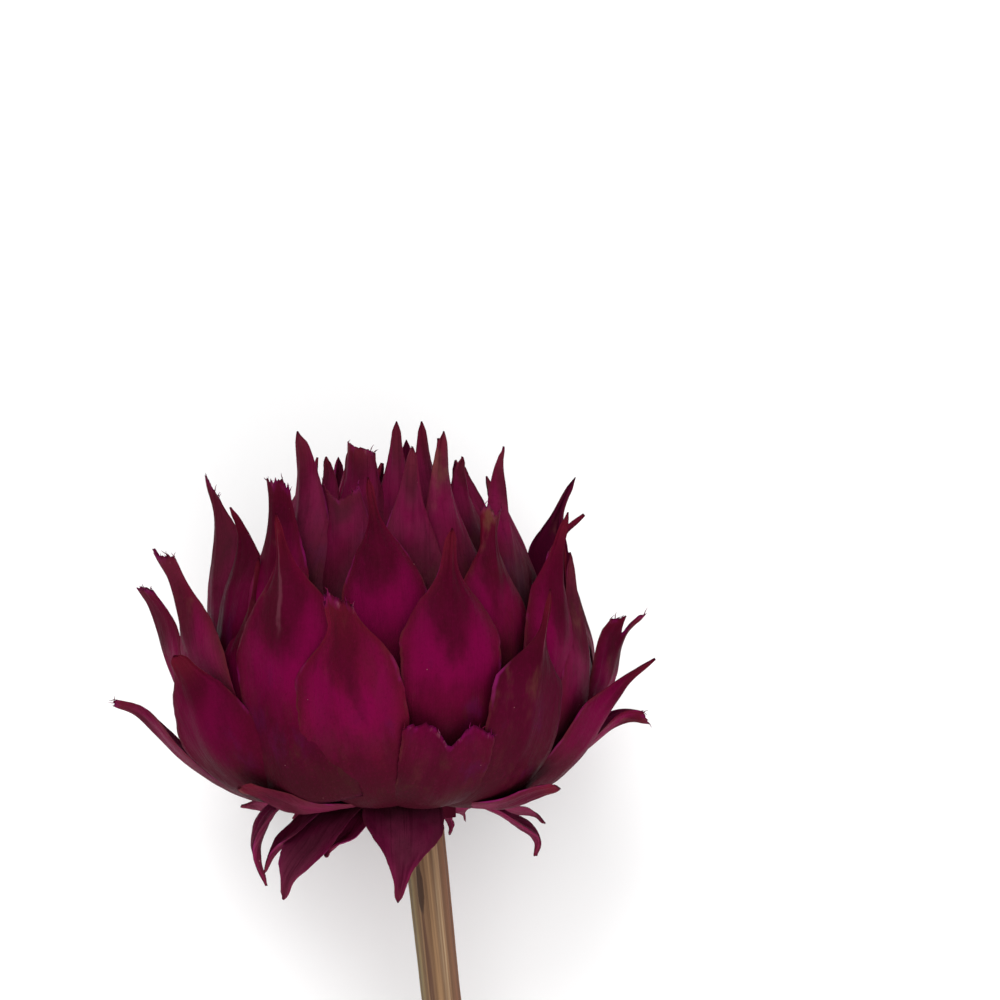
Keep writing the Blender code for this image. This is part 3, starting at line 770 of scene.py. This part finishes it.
def makeBractMaterial(effects):
    material, tree, shader = newMaterial("dyedBractWithPaintedLight")
    sheet = mark(tree, "sheet", "Vector")
    across, along, outer, tone = (mark(tree, name) for name in ("across", "along", "outer", "tone"))
    x, y, seed = split(sheet)
    band = useEffect(tree, effects["grain"], sheet, 0.20, 0.09)
    grain = useEffect(tree, effects["grain"], sheet, 2.6, 0.06)
    fine = useEffect(tree, effects["grain"], sheet, 7.0, 0.25)
    aside = across.calc("ABSOLUTE")
    past = along - mark(tree, "highlightAt") + band * 0.22
    rise = past + aside.ramp(0.75, 0.0) * 0.14
    color = dyesAndPaintedLight["body"]

    def blotch(size, share, shift):
        place = combine(tree, x, y * 0.5, seed + shift)
        return useEffect(tree, effects["mottle"], place, size, share)

    def lay(colourName, share):
        nonlocal color
        color = paint(tree, color, dyesAndPaintedLight[colourName], share)

    # a dye of its own for each bract, then blotches
    lay("ruddy", (tone * 7.3).calc("FRACT").ramp(0.45, 1.0))
    lay("deep", blotch(9.0, 0.45, 9.0) * 0.6)
    lay("bright", blotch(5.0, 0.40, 51.0) * 0.3)
    lay("dry", blotch(14.0, 0.30, 15.0) * 0.65)
    # painted highlight on the shoulders, ruddy on the flanks, painted shade towards the seat and up
    # the neck
    shoulder = past.ramp(-0.26, -0.02) * rise.ramp(0.26, 0.06) * (blotch(9.0, 0.6, 3.0) * 0.6 + 0.4)
    lay("bright", shoulder * aside.ramp(1.0, 0.7) * 0.75)
    lay("deep", band.ramp(0.02, 0.25) * 0.4)
    lay("ruddy", aside.ramp(0.55, 1.0) * 0.35)
    # painted light all over, or painted shade where glow is below 0
    glow = mark(tree, "glow")
    lay("bright", glow.most(0.0))
    lay("deep", (glow * -1.0).most(0.0))
    # painted shade up the neck
    lay("deep", rise.ramp(0.08, 0.24) * aside.ramp(1.0, 0.3) * 0.6)
    # painted shade towards the seat, where the next bracts overlap it
    low = past.ramp(-0.08, -0.34)
    lay("deep", low * 0.7)
    lay("dry", low * blotch(6.0, 0.35, 63.0) * 0.8)
    lay("plum", past.ramp(0.0, -0.12) * blotch(7.0, 0.25, 83.0) * 0.6)
    lay("olive", low * blotch(3.5, 0.22, 89.0) * 0.5)
    # painted shadow in the gap at the seat
    lay("seat", past.ramp(-0.24, -0.48) * 0.7)
    lay("tip", along.ramp(0.80, 1.0) * (noise(sheet * 0.2, 1.0, 3.0) + 0.65).within() * 0.8)
    # partly dust and partly painted light that lifts parts in shade, such as the ruff
    dustAndPaintedLight = mark(tree, "dustAndPaintedLight")
    lay("dustAndPaintedLight", dustAndPaintedLight * (blotch(8.0, 0.5, 95.0) + 0.6))
    lay("deep", grain.ramp(0.0, 0.22) * (dustAndPaintedLight * 3.0).within())
    # the grain of the skin
    pores = noise(sheet, 1.7, 4.0, 0.7)
    lay("deep", (grain.ramp(0.0, 0.35) + fine.ramp(0.05, 0.4)) * 0.16)
    lay("deep", pores.ramp(0.0, 0.3) * 0.45)
    lay("bright", pores.ramp(0.0, -0.3) * 0.25)
    # the underside and the face towards the axis
    lay("inner", (1.0 - outer) * (0.8 - glow.most(0.0) * 0.5))
    # what is dried, worn and specked, and a painted sheen on the edges
    worn = (tone * 3.7).calc("FRACT").ramp(0.3, 0.7)
    lay("tan", blotch(5.0, 0.14, 21.0) * along.ramp(0.5, 0.95) * worn * 0.35)
    rim = useEffect(tree, effects["rim"], across, 0.07) * blotch(3.0, 0.50, 27.0)
    lay("rim", rim * along.ramp(0.12, 0.3) * 0.35)
    # a painted violet sheen along the edges
    lit = useEffect(tree, effects["rim"], across, 0.10) * blotch(6.0, 0.3, 39.0)
    lay("violet", lit * along.ramp(0.3, 0.5) * 0.5)
    # a pale line on the fold of some necks, a painted highlight
    line = (across + band * 0.25).calc("ABSOLUTE").ramp(0.08, 0.02) * past.ramp(0.04, 0.14)
    lay("pale", line * blotch(4.0, 0.75, 45.0) * mark(tree, "pale") * 0.6)
    # violet and pale where a blade is torn
    raw = mark(tree, "raw")
    lay("violet", raw * blotch(1.6, 0.5, 71.0) * 0.35)
    lay("pale", raw * blotch(1.2, 0.22, 77.0) * 0.6)
    specks = useEffect(tree, effects["specks"], sheet, 0.33, 0.055, 0.4)
    lay("speck", specks * outer * 0.7)

    roughness = (blotch(7.0, 0.5, 33.0) * 0.16 + grain * 0.15 + 0.46).within()
    height = grain + fine * 0.5 + specks * 0.6
    finish(tree, shader, color, roughness, height, specular=0.018, depth=0.14)
    return material


def makeStemMaterial(effects):
    material, tree, shader = newMaterial("dryStem")
    circle = mark(tree, "turned", "Vector")
    turnX, turnY, _ = split(circle)
    ring, depth, _ = split(mark(tree, "round", "Vector"))
    # a place on the bark, in mm, that closes round the stem
    bark = combine(tree, turnX * stem["radius"], depth, turnY * stem["radius"])
    color = straws["straw"]

    def streak(across, length, shift):
        # fibres run along the stem, so the noise is drawn out along it
        place = combine(tree, turnX * across, depth / length + shift, turnY * across)
        return noise(place, 1.0, 3.0, 0.6)

    def lay(straw, share):
        nonlocal color
        color = paint(tree, color, straws[straw], share)

    lay("brown", streak(3.2, 60.0, 0.0).ramp(-0.05, 0.14))
    lay("pale", streak(4.0, 90.0, 5.0).ramp(0.03, 0.20) * 0.8)
    lay("red", turnX.ramp(0.35, 0.95) * 0.8)
    lay("green", turnX.ramp(-0.5, -0.95) * 0.7)
    # painted shade in the grooves between the ribs
    lay("brown", mark(tree, "groove").ramp(0.1, 1.0) * 0.55)
    fine = streak(14.0, 18.0, 9.0)
    lay("brown", fine.ramp(0.05, 0.35) * 0.5)
    # the long dark scar on the front and small dark specks
    (scarX, scarDepth), (halfX, halfDepth) = lesion["spot"], lesion["size"]
    wobble = noise(bark, 0.5, 2.0) * 0.12
    apart = ((turnX - scarX + wobble) / halfX) ** 2.0 + ((depth - scarDepth) / halfDepth) ** 2.0
    scar = (1.0 - apart).ramp(0.0, 0.45) * turnY.calc("LESS_THAN", 0.0)
    lay("lesion", scar * 0.9)
    lay("lesion", useEffect(tree, effects["specks"], bark, 0.45, 0.08, 0.25) * 0.7)
    # the cut end: bark outside, a ring of vessels, pith in the middle
    vessels = useEffect(tree, effects["specks"], circle * 4.0, 2.2, 0.3, 0.8)
    face = paint(tree, straws["straw"], straws["vessel"], vessels * ring.ramp(0.5, 0.6) * 0.8)
    face = paint(tree, face, straws["pith"], ring.ramp(0.72, 0.62) * 0.8)
    color = paint(tree, color, face, mark(tree, "cutFace"))
    roughness = (fine * 0.2 + 0.66).within()
    height = fine + streak(6.0, 30.0, 2.0) - scar * 0.5
    finish(tree, shader, color, roughness, height, specular=0.25, depth=0.16)
    return material


# The core under the bracts

core = {"profile": [(0, 47), (9, 46), (17, 44), (24, 41), (30, 36), (34.5, 30), (36.5, 23),
                    (35.5, 15), (31, 9.5), (23, 5.4), (13, 3.4), (9, 2.2), (7, -1), (0, -1)],
        "steps": 72, "footHeight": 15, "stemX": 6.0, "stemTop": -1.3}


def makeCore(material):
    profile = core["profile"]
    mesh = bpy.data.meshes.new("core")
    edges = [(i, i + 1) for i in range(len(profile) - 1)]
    mesh.from_pydata([(radius * mm, 0, height * mm) for radius, height in profile], edges, [])
    piece = addObject("core", mesh)
    turn = piece.modifiers.new("turn", "SCREW")
    turn.steps = turn.render_steps = core["steps"]
    turn.use_merge_vertices = True
    turn.merge_threshold = 0.01 * mm
    piece.data = evaluatedMesh(piece)
    piece.modifiers.clear()
    reach = (core["footHeight"] - core["stemTop"]) * mm
    for vert in piece.data.vertices:
        below = max(0, core["footHeight"] * mm - vert.co.z) / reach
        vert.co.x += core["stemX"] * mm * below ** 2
    piece.data.transform(lieMatrix)
    piece.data.materials.append(material)
    piece.data.shade_smooth()
    print(f"core: {len(piece.data.polygons)} faces")
    return piece


# The stem

# In mm and degrees. shares are the top cap's, the side's and the cut face's parts of the grid, cutEdge
# is where the cut's colour starts, and wrinkles are how dense they are round the stem and along it.
stem = {"radius": 3.75, "length": 150.0, "top": (6.0, 0.0, -1.3), "lean": 6.0,
        "bend": (1.5, -2.5, 0.0), "flare": 0.3, "flareFade": 6.0, "ribs": 12, "ribDepth": 0.35,
        "wrinkle": 0.5, "wrinkles": (3.0, 6.0), "sides": 180, "rings": 240,
        "shares": (0.02, 0.90, 0.08), "cutEdge": (0.918, 0.9205)}

# The dark scar on the stem's front: its middle as (cosine of the turn, mm below the top), and half
# its size in the same measures.
lesion = {"spot": (-0.46, 14.0), "size": (0.17, 5.6)}


def buildStemTree():
    tree, ask = newTree("ribbedStem", {
        "Geometry": "Geometry", "Sides": "Int", "Rings": "Int", "Radius": "Float",
        "Length": "Float", "Ribs": "Float", "Rib Depth": "Float", "Material": "Material"})
    grid = rolledGrid(tree, ask("Sides"), ask("Rings"))
    topShare, sideShare, cutShare = stem["shares"]
    turn = readAttribute(tree, "turn") * (2 * math.pi)
    way = readAttribute(tree, "way")
    closing = (way / topShare).within() * ((1.0 - way) / cutShare).within()
    depth = ((way - topShare) / sideShare).within()
    x, y = turn.calc("COSINE"), turn.calc("SINE")
    ring = combine(tree, x, y, 0.0)
    ribs = (turn * ask("Ribs")).calc("COSINE")
    count, rows = stem["wrinkles"]
    wrinkle = noise(combine(tree, x * count, y * count, depth * rows), 1.0, 2.0) * stem["wrinkle"]
    flare = (1.0 - depth) ** stem["flareFade"] * stem["flare"]
    radius = (ask("Radius") + flare + ribs * ask("Rib Depth") / 2.0 + wrinkle) * closing
    lean = math.radians(stem["lean"])
    down = Vector((math.sin(lean), 0, -math.cos(lean)))
    run = combine(tree, *(depth * (ask("Length") * part) for part in down))
    bend = combine(tree, *(depth * depth * part for part in stem["bend"]))
    spot = (run + bend + ring * radius + Vector(stem["top"])) * mm
    shaped = grow(tree, "SetPosition", {"Geometry": grid, "Position": spot})
    measured = combine(tree, closing, depth * ask("Length"), 0.0)
    shaped = store(tree, shaped, "round", measured, "FLOAT_VECTOR")
    shaped = store(tree, shaped, "turned", ring * closing, "FLOAT_VECTOR")
    shaped = store(tree, shaped, "groove", ribs * -0.5 + 0.5)
    shaped = store(tree, shaped, "cutFace", way.ramp(*stem["cutEdge"]))
    return endTree(tree, closeSeams(tree, shaped), ask("Material"))


def makeStem(material):
    inputs = {"Sides": stem["sides"] + 1, "Rings": stem["rings"], "Radius": stem["radius"],
              "Length": stem["length"], "Ribs": float(stem["ribs"]), "Rib Depth": stem["ribDepth"],
              "Material": material}
    keep = ("round", "turned", "groove", "cutFace")
    return runTree("stem", buildStemTree(), bpy.data.meshes.new("stem"), inputs, keep)


# The room, the lights and the camera

studio = {"floorSize": 8.0, "floorColor": (0.96, 0.96, 0.96, 1), "worldColor": (1, 1, 1, 1),
          "worldStrength": 0.80}

# Each light: where it is from the head's middle, its size in m and its power in W.
lights = {
    "keyLight": {"from": (-0.35, 0.9, 1.3), "size": 1.0, "power": 9},
    "fillLight": {"from": (0.3, -1.2, 0.6), "size": 1.2, "power": 15},
    "topLight": {"from": (0.0, 0.0, 1.9), "size": 1.6, "power": 3},
}

# The camera looks at the head's front squarely: the point it aims at in the head's own frame,
# how far away it is, and the width of the view there.
cameraSetup = {"target": (21.6, 0, 62.4), "distance": 1.6, "viewWidth": 0.2}


def makeRoom():
    bpy.ops.mesh.primitive_plane_add(size=studio["floorSize"])
    floor = bpy.context.object
    floor.name = "floor"
    pale = makePlainMaterial("paleFloor", studio["floorColor"], roughness=0.9, specular=0.1)
    floor.data.materials.append(pale)
    world = bpy.data.worlds.new("studio")
    world.use_nodes = True
    sky = {"Color": studio["worldColor"], "Strength": studio["worldStrength"]}
    plug(world.node_tree, world.node_tree.nodes["Background"], sky)
    bpy.context.scene.world = world
    middle = Vector(((cadBox[0] + cadBox[1]) / 2).xy.to_3d())
    for name, light in lights.items():
        lamp = addObject(name, bpy.data.lights.new(name, "AREA"))
        lamp.data.shape = "DISK"
        lamp.data.size = light["size"]
        lamp.data.energy = light["power"]
        lamp.location = middle + Vector(light["from"])
        lamp.rotation_euler = (middle - lamp.location).to_track_quat("-Z", "Y").to_euler()
    bpy.context.scene.view_settings.view_transform = "Standard"


def makeCamera():
    camera = addObject("camera", bpy.data.cameras.new("camera"))
    bpy.context.scene.camera = camera
    distance = cameraSetup["distance"]
    camera.data.lens = camera.data.sensor_width * distance / cameraSetup["viewWidth"]
    camera.data.clip_end = 20
    back = Vector((0, -1, 0))
    frameAxes = Matrix((Vector((1, 0, 0)), Vector((0, 0, 1)), back)).transposed().to_4x4()
    spot = Vector(cameraSetup["target"]) * mm + back * distance
    camera.matrix_world = lieMatrix @ Matrix.Translation(spot) @ frameAxes


effects = {"grain": makeFibreGrain(), "mottle": makeMottle(), "specks": makeSpecks(),
           "rim": makeRim()}
bractMaterial = makeBractMaterial(effects)
stemMaterial = makeStemMaterial(effects)
coreMaterial = makePlainMaterial("underBracts", dyesAndPaintedLight["core"], roughness=0.9, specular=0.0)
print("materials made")
for piece in [makeCore(coreMaterial), *makeBracts(bractMaterial)]:
    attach(piece, "root")
    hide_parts("head")
stemPiece = makeStem(stemMaterial)
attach(stemPiece, "root")
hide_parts("stem")
makeRoom()
makeCamera()
print("room and camera made")
